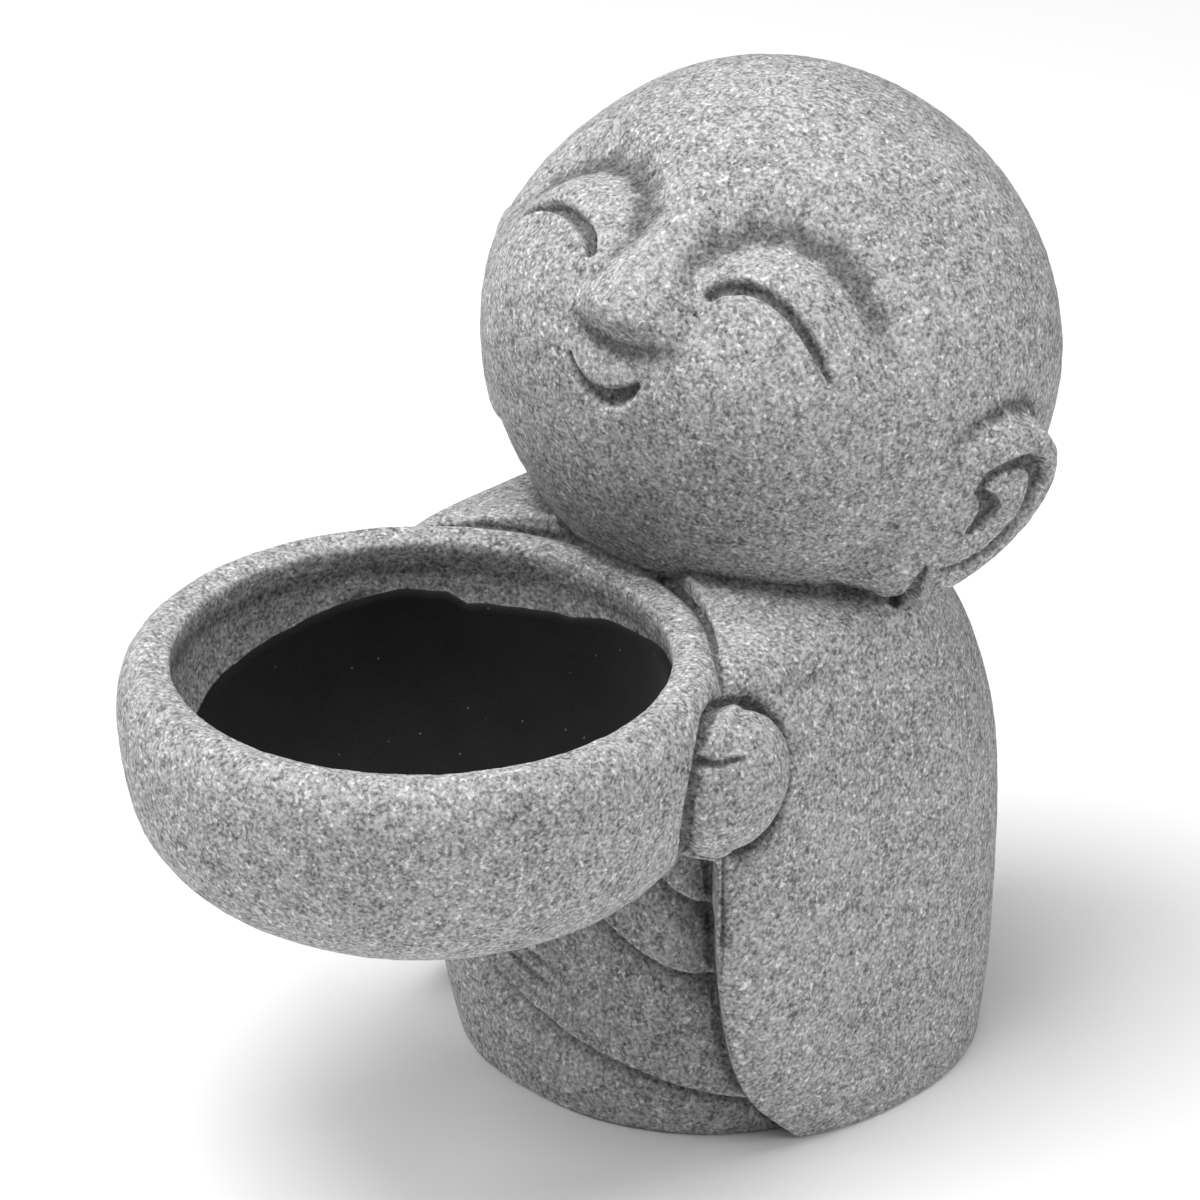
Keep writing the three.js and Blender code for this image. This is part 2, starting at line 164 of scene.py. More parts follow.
def robe_folds(left, height):
    """How far the robe's layers lie proud of it, with a cut under each lower edge and a fan of
    fine pleats above the lowest one."""
    proud = np.zeros_like(left)
    for thick, edge in FOLDS:
        places = np.array(edge, float)
        above = height - np.interp(left, places[:, 0], places[:, 1])
        layer = smooth(above, -FOLD_EDGE, FOLD_EDGE) * np.exp(-np.maximum(above, 0) / FOLD_FADE)
        undercut = UNDERCUT_DEPTH * bell(np.minimum(above + UNDERCUT_GAP, 0), UNDERCUT_WIDTH)
        proud += thick * layer - undercut * (1 - smooth(above, -0.8, 0.2))
    lower = np.array(FOLDS[0][1], float)
    above = height - np.interp(left, lower[:, 0], lower[:, 1])
    fan = smooth(-left, -14, 8) * smooth(above, 0, 3) * smooth(-above, -16, -9)
    return proud + PLEAT_DEPTH * fan * np.sin(above * (2.1 - 0.02 * left))


def behind_bowl(angle, radius):
    """Distance from the ring's middle to a round wall that stands round the bowl's axis."""
    gap = RING_MIDDLE_Y - BOWL_AXIS_Y
    inside = radius**2 - (gap * np.sin(angle)) ** 2
    meets = (inside > 0) & (np.cos(angle) > 0)
    reach = gap * np.cos(angle) - np.sqrt(np.maximum(inside, 0))
    return np.where(meets, reach, 1e3)


def body_radius(angle, height):
    """Distance to the skin of cloak and robe together, hollowed where the bowl stands."""
    cloak = ring_radius(CLOAK_ROWS, angle, height)
    robe = ring_radius(ROBE_ROWS, angle, height)
    left = np.sin(angle) * robe
    robe = robe + robe_folds(left, height) - ROBE_DEPTH
    valley = bell(OPENING_HALF - np.abs(left), VALLEY_WIDTH) * smooth(height, *VALLEY_HEIGHTS)
    robe -= VALLEY_DEPTH * valley
    aside = np.abs(np.sin(angle)) * cloak
    covered = smooth(aside, OPENING_HALF - CLOAK_EDGE, OPENING_HALF + CLOAK_EDGE)
    covered = np.where((np.cos(angle) > 0) & (height < OPENING_TOP), covered, 1)
    skin = robe * (1 - covered) + cloak * covered
    chest = np.array(CHEST_WALL, float)
    wall = np.where(height < chest[0, 0], 0, np.interp(height, chest[:, 0], chest[:, 1]))
    return np.minimum(skin, behind_bowl(angle, wall))


def pushed_ball(name, around, up, place):
    """A ball whose points a function puts in place: it gets each point's angle round the ball's
    axis and its share of the way down from the top, and gives back a place in millimetres."""
    bpy.ops.object.select_all(action="DESELECT")
    bpy.ops.mesh.primitive_uv_sphere_add(segments=around, ring_count=up, radius=1)
    ball = bpy.context.object
    ball.name = name
    finer = ball.modifiers.new("finer", "SUBSURF")
    finer.subdivision_type = "SIMPLE"
    finer.levels = finer.render_levels = 2
    bpy.ops.object.modifier_apply(modifier=finer.name)
    points = np.zeros(len(ball.data.vertices) * 3)
    ball.data.vertices.foreach_get("co", points)
    x, y, z = points.reshape(-1, 3).T
    down = np.arctan2(np.hypot(x, y), z) / math.pi
    ball.data.vertices.foreach_set("co", (place(np.arctan2(x, -y), down) * MM).ravel())
    ball.data.update()
    return ball


def body_place(angle, down):
    """The first and last stretch of the way down are the flat top and the foot."""
    top = CLOAK_ROWS[-1][0] * HEIGHT
    height = top * (1 - np.clip((down - FLAT_SHARE) / (1 - 2 * FLAT_SHARE), 0, 1))
    spread = np.minimum(np.clip(down / FLAT_SHARE, 0, 1), np.clip((1 - down) / FLAT_SHARE, 0, 1))
    radius = body_radius(angle, height) * spread
    return np.stack([np.sin(angle) * radius, RING_MIDDLE_Y - np.cos(angle) * radius, height], 1)


cloak_and_robe = pushed_ball("cloak_and_robe", 200, 72, body_place)

# Head. A big round stone head that looks up, turned and leaned a little to its own left, with a soft
# nose, hollows under the brows and full cheeks. Each ear grows out of the side of the head, and its
# rim stands clear behind. Angles are in degrees from the middle of the face and its equator.
HEAD_MIDDLE = np.array((0, 0.0505 * HEIGHT, 0.7295 * HEIGHT))
HEAD_HALF = (0.291 * HEIGHT, 0.277 * HEIGHT, 0.274 * HEIGHT)
HEAD_TURN = np.array(Euler((math.radians(-28), math.radians(6.4), math.radians(8.5)), "XYZ").to_matrix())
JAW_NARROWING = 0.05
FOREHEAD_SLOPE = 0.014 * HEIGHT
NOSE_HEIGHT = 5.9
NOSE_TOP = 24.0
NOSE_TIP = -2.4
NOSE_UNDERSIDE = 5.0
NOSE_BRIDGE_BREADTH = 4.6
NOSE_WIDENING = 2.8
NOSE_BULB = 1.6
NOSE_FULLNESS = 2.6
CHEEK_HEIGHT = 1.5
LIPS_HEIGHT = 0.7
# brow: the middle of the hollow over the eye as places (side, up), and the hollow's depth there
BROW_LINE = [
    (5, 6), (7, 13), (10.6, 18.5), (15.7, 23.5), (24, 26.6), (33.7, 25.6), (41.5, 21.5), (47, 16),
    (50, 9.5), (52, 2),
]
BROW_DEPTH = [0.2, 1.7, 3.1, 3.8, 4.1, 4.0, 3.6, 2.9, 1.7, 0.2]
BROW_ABOVE = 6.6
BROW_BELOW = 5.9
EYE_MIDDLE = (27.0, 4.0)
MM_PER_DEGREE = 0.0178 * HEAD_HALF[0]
# ear: the line of its rim as places (side, up), seen flat on the side of the head
EAR_EDGE = [
    (71, -4), (77, 2), (83, 5.6), (90, 7.2), (96, 4), (100, -2), (101, -8), (100.2, -14), (99, -20),
    (97.5, -27), (95, -34), (90, -42),
]
EAR_MIDDLE = (80.0, -14.0)
EAR_STAND = 7.4
EAR_ROUNDING = 4.2


def distance_to(line, half, side, up):
    """Distance in millimetres to a line of places, the line's own half width (or depth) there, and
    the nearest place itself."""
    places = np.array(line, float)
    steps = np.linspace(0, len(places) - 1, 90)
    run = np.arange(len(places))
    sides = np.interp(steps, run, places[:, 0])
    ups = np.interp(steps, run, places[:, 1])
    halves = np.interp(steps, run, half)
    squeeze = np.cos(np.radians(ups))
    gap = np.hypot(
        (side[:, None] - sides) * squeeze * MM_PER_DEGREE,
        (up[:, None] - ups) * MM_PER_DEGREE,
    )
    nearest = gap.argmin(1)
    return gap[np.arange(len(side)), nearest], halves[nearest], sides[nearest], ups[nearest]


def ear_height(side, up):
    """How far the ear stands out of the head: flush with the cheek in front, rounded at its edge."""
    stand = np.zeros_like(side)
    near = (side > 55) & (side < 115) & (up > -60) & (up < 30)
    s, u = side[near], up[near]
    gap, _, edge_side, edge_up = distance_to(EAR_EDGE, [1] * len(EAR_EDGE), s, u)
    middle_side, middle_up = EAR_MIDDLE
    own = np.hypot(s - middle_side, u - middle_up)
    edge = np.hypot(edge_side - middle_side, edge_up - middle_up)
    inward = np.where(own < edge, gap, -gap)
    stand[near] = EAR_STAND * smooth(inward, -0.8, EAR_ROUNDING) * smooth(s, 68, 94) * smooth(u, -47, -34)
    return stand


def head_push(side, up):
    """How far the face is moved out of the plain ball at an angle off the middle and an elevation."""
    away = np.abs(side)
    down = np.clip((NOSE_TOP - up) / (NOSE_TOP - NOSE_TIP), 0, 1)
    breadth = NOSE_BRIDGE_BREADTH + NOSE_WIDENING * down + NOSE_BULB * bell(up - NOSE_TIP, 6)
    rounding = np.hypot(away / breadth, np.minimum(up - NOSE_TIP, 0) / NOSE_UNDERSIDE)
    nose = NOSE_HEIGHT * smooth(down, -0.1, 1.15) * np.exp(-(rounding**NOSE_FULLNESS))
    socket = np.zeros_like(away)
    near = (away < 75) & (up > -25) & (up < 55)
    gap, deep, line_side, line_up = distance_to(BROW_LINE, BROW_DEPTH, away[near], up[near])
    middle_side, middle_up = EYE_MIDDLE
    own = np.hypot(away[near] - middle_side, up[near] - middle_up)
    edge = np.hypot(line_side - middle_side, line_up - middle_up)
    socket[near] = deep * bell(gap, np.where(own < edge, BROW_BELOW, BROW_ABOVE))
    cheek = CHEEK_HEIGHT * bell(away - 27, 15) * bell(up + 7, 14)
    lips = LIPS_HEIGHT * bell(away, 11) * bell(up + 17, 7)
    a, e = np.radians(side), np.radians(up)
    frontal = smooth(np.cos(a) * np.cos(e), -0.2, 0.7)
    slope = FOREHEAD_SLOPE * frontal * bell(up - 35, 28)
    return nose - socket + cheek + lips - slope + ear_height(away, up)


def head_surface(side, up):
    """Places on the upright head's skin, from its own middle."""
    a, e = np.radians(side), np.radians(up)
    push = head_push(side, up)
    narrow = 1 - JAW_NARROWING * smooth(-up, 5, 60)
    return np.stack([
        np.sin(a) * np.cos(e) * (HEAD_HALF[0] * narrow + push),
        -np.cos(a) * np.cos(e) * (HEAD_HALF[1] * narrow + push),
        np.sin(e) * (HEAD_HALF[2] + push),
    ], 1)


def posed(points):
    """Turns points of the upright head as it is held, and lifts them to their place."""
    return points @ HEAD_TURN.T + HEAD_MIDDLE


def head_place(angle, down):
    return posed(head_surface(np.degrees(angle), 90 - 180 * down))


head = pushed_ball("head", 180, 90, head_place)

# Bowl. A round-bellied bowl of the same stone with a thick rolled rim, cast in one with the figure.
# Modelled as a ball pushed to a turned outline that runs through the hollow and down the outside.
MOUTH_RADIUS = 42.9
BOWL_DEPTH = 48.0
FLOOR_THICKNESS = 8.0
BOWL_BOTTOM = RIM_HEIGHT - BOWL_DEPTH
FLOOR_HEIGHT = BOWL_BOTTOM + FLOOR_THICKNESS
# shares of the bowl's radius and depth down the outside, and of the mouth's radius and the hollow's
# depth back up from the rim to the middle of its floor
BOWL_PROFILE = [
    (0, 0), (0.38, 0.02), (0.555, 0.096), (0.728, 0.183), (0.855, 0.285), (0.942, 0.415),
    (0.983, 0.58), (1, 0.74), (0.993, 0.88), (0.957, 0.963), (0.91, 1), (0.865, 0.994),
]
HOLLOW_PROFILE = [
    (1, 0.97), (1.012, 0.82), (0.985, 0.6), (0.9, 0.34), (0.72, 0.13), (0.42, 0.02), (0, 0),
]


def smooth_line(places, count):
    """Points spread evenly along a smooth line through a list of places."""
    places = np.array(places, float)
    run = np.concatenate([[0], np.cumsum(np.hypot(*np.diff(places, axis=0).T))])
    rows = [(r, *p) for r, p in zip(run, places)]
    along = np.linspace(0, run[-1], count)
    return np.stack([through(rows, 1, along), through(rows, 2, along)], 1)


def turned(line):
    """A place function that turns a line of (radius, height) round the bowl's axis."""
    def place(angle, down):
        run = np.clip(down * (len(line) - 1), 0, len(line) - 1)
        radius = np.interp(run, np.arange(len(line)), line[:, 0])
        height = np.interp(run, np.arange(len(line)), line[:, 1])
        return np.stack([np.sin(angle) * radius, BOWL_AXIS_Y - np.cos(angle) * radius, height], 1)
    return place


bowl_outside = [(r * BOWL_RADIUS, BOWL_BOTTOM + h * BOWL_DEPTH) for r, h in BOWL_PROFILE]
hollow_depth = RIM_HEIGHT - FLOOR_HEIGHT
bowl_inside = [(r * MOUTH_RADIUS, FLOOR_HEIGHT + h * hollow_depth) for r, h in HOLLOW_PROFILE]
bowl_line = smooth_line(bowl_outside + bowl_inside, 221)[::-1]
bowl = pushed_ball("bowl", 120, 55, turned(bowl_line))

# Hands. A stone mitten on each side of the bowl, that comes out of its sleeve and lies against the
# bowl. Modelled as an egg; the crease under the thumb is carved with the other fine lines.
HAND_MIDDLE = np.array((47.0, -48.0, 81.6))
HAND_HALF = np.array((9.4, 12.8, 14.2))
HAND_LEAN = 1.0


def hand_place(sign):
    """A place function for the egg of the hand on one side: 1 is its left, -1 its right."""
    def place(angle, down):
        up, out = np.cos(down * math.pi), np.sin(down * math.pi)
        egg = np.stack([np.sin(angle) * out, -np.cos(angle) * out, up])
        x, y, z = HAND_MIDDLE[:, None] + HAND_HALF[:, None] * egg
        return np.stack([sign * (x + HAND_LEAN * up), y, z], 1)
    return place


hands = [
    pushed_ball(f"{side}_hand", 32, 20, hand_place(sign))
    for side, sign in (("left", 1), ("right", -1))
]

# Casting. Head, body, bowl and hands are one piece of cast stone. The parts are joined and
# remeshed into one skin, the joints are softened as a mould leaves them, and then the fine lines
# are carved: eyes, mouth, ears, the thumbs' creases, the cuffs and the seam of the cloak's hem.
CASTING_VOXEL = 0.5
CASTING_FACES = 190000
# lines on the face and the ears, as places (side, up), with their half width in millimetres
EYE_LINE = [
    (13.8, 7.2), (15.2, 9.2), (18.5, 10.9), (22, 11.5), (26, 10.9), (30.5, 9), (34.5, 6.2), (38, 3),
    (41, 0),
]
FAR_EYE_LINE = [
    (-14.6, 5.6), (-16.6, 8), (-19.6, 9.6), (-23.6, 10.5), (-28.5, 10.9), (-33.5, 10.3), (-37.5, 9.0),
    (-41, 7.2), (-44, 5),
]
EYE_LINE_HALF = [1.35, 1.5, 1.45, 1.35, 1.3, 1.25, 1.15, 0.95, 0.5]
EYE_LINE_DEPTH = 2.2
MOUTH_LINE = [
    (-10.3, -15), (-8.8, -17), (-6.6, -19.2), (-3.4, -20.6), (0.4, -20.6), (4, -18.6), (6.5, -15.6),
]
MOUTH_LINE_HALF = [0.6, 0.85, 1.3, 1.75, 1.95, 1.7, 0.8]
MOUTH_LINE_DEPTH = 2.4
EAR_GROOVE = [
    (80.5, -11), (81, -7.2), (83.4, -4.2), (86.4, -2.4), (89.4, -2.8), (91.6, -5.8), (91.8, -11),
    (91, -16), (90, -20.5), (88.2, -24.5), (85.6, -27.5),
]
EAR_GROOVE_HALF = [0.8, 0.95, 1.1, 1.5, 2.2, 2.5, 1.6, 1.3, 1.15, 0.95, 0.4]
EAR_GROOVE_DEPTH = 2.7
EAR_HOLLOW = [(81.2, -10.8), (84, -12.3), (84.2, -15), (83.6, -18.5)]
EAR_HOLLOW_HALF = [1.2, 2.2, 1.5, 0.6]
EAR_HOLLOW_DEPTH = 2.4
LOBE_GAP = [(82.6, -28.5), (84.5, -32), (87.5, -36.5), (91, -40)]
LOBE_GAP_HALF = [0.5, 1.1, 1.8, 2.4]
LOBE_GAP_DEPTH = 1.6
# the crease under the thumb, as places on the hand's egg: angle round it, and share of its half height
THUMB_CREASE = [(12, 0.6), (32, 0.6), (52, 0.615), (76, 0.64)]
THUMB_CREASE_HALF = [1.3, 1.3, 1.15, 0.5]
THUMB_CREASE_DEPTH = 1.8
CUFF_WIDTH = 1.3
CUFF_DEPTH = 2.6
BOWL_SEAM_DEPTH = 1.3
# the seam beside the cloak's hem: angle round the body, and share of the figure's height
HEM_LINE = [(45.6, 0.41), (45.7, 0.35), (45.9, 0.29), (45.7, 0.235)]
HEM_LINE_HALF = [0.8, 0.8, 0.7, 0.3]
HEM_LINE_DEPTH = 0.8
# painted shade in hollows: how many rounds of averaging find the fine and the wide hollows, how deep a
# hollow must lie, in millimetres, to get the full painted shade, and how much darker the stone is painted
# there
FINE_ROUNDS = 10
FINE_DEPTH = 0.09
WIDE_ROUNDS = 50
WIDE_DEPTH = 0.2
PAINTED_SHADE_STRENGTH = 0.62
# unevenness of the skin: name, size and height in millimetres
SKIN_LUMPS = [("low waves", 9.0, 0.3), ("lumps", 2.4, 0.3)]


def coordinates(piece):
    """A piece's points, in millimetres."""
    points = np.zeros(len(piece.data.vertices) * 3)
    piece.data.vertices.foreach_get("co", points)
    return points.reshape(-1, 3) / MM


def set_coordinates(piece, points):
    piece.data.vertices.foreach_set("co", (points * MM).ravel())
    piece.data.update()


def normals(piece):
    found = np.zeros(len(piece.data.vertices) * 3)
    piece.data.vertices.foreach_get("normal", found)
    return found.reshape(-1, 3)


def fine_line(places, halves, count=120):
    """A line in space drawn finer, with its half width at each point."""
    run = np.linspace(0, len(places) - 1, count)
    at = np.arange(len(places))
    rows = [(i, *p, h) for i, p, h in zip(at, places, halves)]
    return np.stack([through(rows, c, run) for c in (1, 2, 3)], 1), through(rows, 4, run)


def carve(points, outward, places, halves, depth, sharp=0.35):
    """Cuts a line into the skin: each point near the line moves in along its own normal."""
    line, half = fine_line(places, halves)
    reach = max(halves) * 1.6
    near = np.all((points > line.min(0) - reach) & (points < line.max(0) + reach), axis=1)
    index = np.where(near)[0]
    gap = np.linalg.norm(points[index, None, :] - line[None], axis=2)
    nearest = gap.argmin(1)
    share = gap[np.arange(len(index)), nearest] / half[nearest]
    cut = depth * smooth(-share, -1.15, -sharp) * np.minimum(half[nearest] / max(halves) * 1.4, 1)
    points[index] -= outward[index] * cut[:, None]


bpy.ops.object.select_all(action="DESELECT")
for part in (cloak_and_robe, head, bowl, *hands):
    part.select_set(True)
bpy.context.view_layer.objects.active = cloak_and_robe
bpy.ops.object.join()
figure = bpy.context.object
figure.name = "jizo_casting"

remesh = figure.modifiers.new("one skin", "REMESH")
remesh.mode = "VOXEL"
remesh.voxel_size = CASTING_VOXEL * MM
remesh.use_smooth_shade = True
bpy.ops.object.modifier_apply(modifier=remesh.name)
soften = figure.modifiers.new("soft joints", "SMOOTH")
soften.factor = 0.5
soften.iterations = 1
bpy.ops.object.modifier_apply(modifier=soften.name)

points = coordinates(figure)
outward = normals(figure)


def on_face(places):
    """Where places (side, up) lie on the finished head."""
    side, up = np.array(places, float).T
    return posed(head_surface(side, up))


for sign in (1, -1):
    eye = EYE_LINE if sign > 0 else FAR_EYE_LINE
    carve(points, outward, on_face(eye), EYE_LINE_HALF, EYE_LINE_DEPTH, 0.55)
    for line, half, depth in (
        (EAR_GROOVE, EAR_GROOVE_HALF, EAR_GROOVE_DEPTH),
        (EAR_HOLLOW, EAR_HOLLOW_HALF, EAR_HOLLOW_DEPTH),
        (LOBE_GAP, LOBE_GAP_HALF, LOBE_GAP_DEPTH),
    ):
        mirrored = [(sign * side, up) for side, up in line]
        carve(points, outward, on_face(mirrored), half, depth, 0.5)
    round_hand, up_hand = np.array(THUMB_CREASE).T
    crease = hand_place(sign)(np.radians(round_hand), np.arccos(up_hand) / math.pi)
    carve(points, outward, crease, THUMB_CREASE_HALF, THUMB_CREASE_DEPTH, 0.3)
    # the moat round the hand: wide where the sleeve opens, and fine where it touches the bowl
    own = points * (sign, 1, 1) - HAND_MIDDLE
    own[:, 0] -= HAND_LEAN * own[:, 2] / HAND_HALF[2]
    share = np.linalg.norm(own / HAND_HALF, axis=1)
    off_hand = (share - 1) * np.linalg.norm(own, axis=1) / np.maximum(share, 0.01)
    off_bowl = np.abs(np.hypot(points[:, 0], points[:, 1] - BOWL_AXIS_Y) - BOWL_RADIUS)
    beside = smooth(off_bowl, 1.5, 4)
    moat = bell(off_hand - 0.9 * CUFF_WIDTH, CUFF_WIDTH * (0.6 + 0.4 * beside))
    moat_depth = BOWL_SEAM_DEPTH + (CUFF_DEPTH - BOWL_SEAM_DEPTH) * beside
    points -= outward * (moat * moat_depth)[:, None]
    angles = np.radians([sign * angle for angle, _ in HEM_LINE])
    heights = np.array([share * HEIGHT for _, share in HEM_LINE])
    radius = ring_radius(CLOAK_ROWS, angles, heights)
    seam = np.stack([np.sin(angles) * radius, RING_MIDDLE_Y - np.cos(angles) * radius, heights], 1)
    carve(points, outward, seam, HEM_LINE_HALF, HEM_LINE_DEPTH, 0.3)
carve(points, outward, on_face(MOUTH_LINE), MOUTH_LINE_HALF, MOUTH_LINE_DEPTH, 0.5)
set_coordinates(figure, points)


def hollowness(piece, rounds):
    """How deep each point lies under the average of the skin round it, in millimetres."""
    points = coordinates(piece)
    ends = np.zeros(len(piece.data.edges) * 2, int)
    piece.data.edges.foreach_get("vertices", ends)
    first, second = ends.reshape(-1, 2).T
    count = len(points)
    neighbours = np.bincount(ends, minlength=count) + 1
    average = points.copy()
    for _ in range(rounds):
        total = average.copy()
        for axis in range(3):
            total[:, axis] += np.bincount(first, average[second, axis], count)
            total[:, axis] += np.bincount(second, average[first, axis], count)
        average = total / neighbours[:, None]
    return ((average - points) * normals(piece)).sum(1)


# painted shade: the cuts, the hollows and the ground under the folds are painted darker, as the shade
# that falls there, and kept as a colour on the skin
fine_hollow = np.clip(hollowness(figure, FINE_ROUNDS) / FINE_DEPTH, 0, 1)
wide_hollow = np.clip(hollowness(figure, WIDE_ROUNDS) / WIDE_DEPTH, 0, 1)
shade = 1 - PAINTED_SHADE_STRENGTH * np.minimum(0.5 * fine_hollow + 0.6 * wide_hollow, 1)
bpy.ops.geometry.color_attribute_add(name="painted_shade", domain="POINT", data_type="FLOAT_COLOR")
colours = np.repeat(shade[:, None], 4, 1)
colours[:, 3] = 1
figure.data.color_attributes["painted_shade"].data.foreach_set("color", colours.ravel())

thin = figure.modifiers.new("fewer faces", "DECIMATE")
thin.ratio = min(1, CASTING_FACES / sum(len(p.vertices) - 2 for p in figure.data.polygons))
thin.use_collapse_triangulate = True
bpy.ops.object.modifier_apply(modifier=thin.name)

for label, size, strength in SKIN_LUMPS:
    cloud = bpy.data.textures.new(label, "CLOUDS")
    cloud.noise_scale = size * MM
    cloud.noise_depth = 2
    swell = figure.modifiers.new(label, "DISPLACE")
    swell.texture = cloud
    swell.texture_coords = "LOCAL"
    swell.strength = strength * MM
    swell.mid_level = 0.5
    bpy.ops.object.modifier_apply(modifier=swell.name)
# the lumps leave the foot flat on the ground
points = coordinates(figure)
points[:, 2] = np.maximum(points[:, 2], 0)
set_coordinates(figure, points)
bpy.ops.object.shade_smooth()


def new_node(tree, kind, place, **values):
    """A shader node with some of its settings and sockets filled in."""
    node = tree.nodes.new(kind)
    node.location = place
    for key, value in values.items():
        if hasattr(node, key):
            setattr(node, key, value)
        else:
            node.inputs[key.replace("_", " ")].default_value = value
    return node


def ramp(tree, place, stops):
    """A colour ramp of greys, from places along it and their levels."""
    node = tree.nodes.new("ShaderNodeValToRGB")
    node.location = place
    elements = node.color_ramp.elements
    while len(elements) < len(stops):
        elements.new(0.5)
    for element, (position, level) in zip(elements, stops):
        element.position = position
        element.color = (level, level, level, 1)
    return node


# the stone's tone: a ground shade, and how much lighter or darker each kind of grain makes it
GROUND_TONE = 0.03
GRAIN_TONE = 0.32
MOTTLE_TONE = 0.13
CLOUD_TONE = 0.12
CHIP_TONE = 0.24
PIT_TONE = 0.08
PIT_RARITY = 0.93
stone = bpy.data.materials.new("cast_stone")
stone.use_nodes = True
tree = stone.node_tree
skin = tree.nodes["Principled BSDF"]
skin.inputs["Roughness"].default_value = 0.9
skin.inputs["Specular IOR Level"].default_value = 0.25
place = new_node(tree, "ShaderNodeTexCoord", (-1600, 0))
grain = new_node(tree, "ShaderNodeTexNoise", (-1300, 300), Scale=1400, Detail=3, Roughness=0.6)
mottle = new_node(tree, "ShaderNodeTexNoise", (-1300, 50), Scale=430, Detail=2, Roughness=0.5)
cloudy = new_node(tree, "ShaderNodeTexNoise", (-1300, -200), Scale=60, Detail=2, Roughness=0.5)
chips = new_node(tree, "ShaderNodeTexNoise", (-1300, -450), Scale=1000, Detail=1, Roughness=0.5)
pits = new_node(tree, "ShaderNodeTexVoronoi", (-1300, -950), Scale=330)
aside = new_node(tree, "ShaderNodeMapping", (-1500, -450))
aside.inputs["Location"].default_value = (0.37, 0.11, 0.53)
upright = new_node(tree, "ShaderNodeMapping", (-1500, -950))
upright.inputs["Scale"].default_value = (1.0, 1.0, 0.55)
for node in (grain, mottle, cloudy, aside, upright):
    tree.links.new(place.outputs["Object"], node.inputs["Vector"])
tree.links.new(aside.outputs["Vector"], chips.inputs["Vector"])
tree.links.new(upright.outputs["Vector"], pits.inputs["Vector"])


def maths(tree, place, operation, first, second, clamp=False):
    """A maths node fed by sockets or plain numbers. Gives back its output socket."""
    node = tree.nodes.new("ShaderNodeMath")
    node.location = place
    node.operation = operation
    node.use_clamp = clamp
    for socket, value in zip(node.inputs, (first, second)):
        if isinstance(value, (int, float)):
            socket.default_value = value
        else:
            tree.links.new(value, socket)
    return node.outputs[0]


grain_tone = ramp(tree, (-1050, 300), [(0.36, 0), (0.64, 1)])
mottle_tone = ramp(tree, (-1050, 50), [(0.34, 0), (0.66, 1)])
chip_tone = ramp(tree, (-1050, -450), [(0.62, 0), (0.68, 1)])
tree.links.new(grain.outputs["Fac"], grain_tone.inputs["Fac"])
tree.links.new(mottle.outputs["Fac"], mottle_tone.inputs["Fac"])
tree.links.new(chips.outputs["Fac"], chip_tone.inputs["Fac"])
tone = maths(tree, (-750, 300), "MULTIPLY", grain_tone.outputs["Color"], GRAIN_TONE)
mottled = maths(tree, (-750, 100), "MULTIPLY", mottle_tone.outputs["Color"], MOTTLE_TONE)
tone = maths(tree, (-600, 300), "ADD", tone, mottled)
clouded = maths(tree, (-600, -50), "MULTIPLY", cloudy.outputs["Fac"], CLOUD_TONE)
tone = maths(tree, (-450, 300), "ADD", tone, clouded)
chipped = maths(tree, (-450, 50), "MULTIPLY", chip_tone.outputs["Color"], CHIP_TONE)
tone = maths(tree, (-300, 300), "ADD", tone, chipped)
hole = maths(tree, (-1050, -850), "LESS_THAN", pits.outputs["Distance"], 0.2)
picked = new_node(tree, "ShaderNodeSeparateColor", (-1050, -1050))
tree.links.new(pits.outputs["Color"], picked.inputs["Color"])
rare = maths(tree, (-850, -1050), "GREATER_THAN", picked.outputs[1], PIT_RARITY)
pit = maths(tree, (-700, -900), "MULTIPLY", hole, rare)
tone = maths(tree, (-150, 300), "ADD", tone, GROUND_TONE)
pitted = maths(tree, (-150, 100), "MULTIPLY", pit, PIT_TONE)
tone = maths(tree, (0, 300), "SUBTRACT", tone, pitted, clamp=True)
# painted shade: the stone's colour is multiplied by the darkening painted into the hollows
painted_shade = new_node(tree, "ShaderNodeVertexColor", (-300, 550), layer_name="painted_shade")
tone = maths(tree, (100, 450), "MULTIPLY", tone, painted_shade.outputs["Color"])
grey = new_node(tree, "ShaderNodeCombineColor", (250, 300))
for socket in grey.inputs:
    tree.links.new(tone, socket)
tree.links.new(grey.outputs[0], skin.inputs["Base Color"])
coarse = maths(tree, (-500, -300), "MULTIPLY", mottle.outputs["Fac"], 1.6)
relief = maths(tree, (-350, -300), "ADD", grain.outputs["Fac"], coarse)
sunk = maths(tree, (-350, -450), "MULTIPLY", pit, 0.9)
relief = maths(tree, (-200, -300), "SUBTRACT", relief, sunk)
bump = new_node(tree, "ShaderNodeBump", (0, -200), Strength=1.0, Distance=0.00015)
tree.links.new(relief, bump.inputs["Height"])
tree.links.new(bump.outputs["Normal"], skin.inputs["Normal"])
figure.data.materials.clear()
figure.data.materials.append(stone)
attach(figure, "root")
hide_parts("jizo_figure")

# Lining. A thin black felt skin glued into the bowl and trimmed by hand along a wavy edge below
# the rim. Modelled as a ball pushed up the felt's inside and back down its outside.
LINING_THICKNESS = 1.0
LINING_CLEARANCE = 0.3
# the edge: angle in degrees from the chest, growing to the figure's left, and height
LINING_EDGE = [
    (-180, 86), (-150, 82), (-118, 81), (-103, 83.3), (-92, 84.3), (-77, 86.3), (-64, 88.2), (-52, 89.5),
    (-41, 89.1), (-36, 87), (-23, 87.6), (-9, 88.2), (0, 90.2), (12, 91.2), (28, 93.2), (60, 93.4),
    (100, 91.5), (140, 89.5), (180, 86),
]


def hollow_line(inset):
    """The bowl's hollow drawn in by some millimetres: sideways on the wall, and upwards on the floor."""
    line = []
    for r, h in HOLLOW_PROFILE:
        radius = max(r * MOUTH_RADIUS - inset * min(1, h * 4), 0)
        line.append((radius, FLOOR_HEIGHT + h * hollow_depth + inset * max(1 - h * 1.6, 0)))
    return line


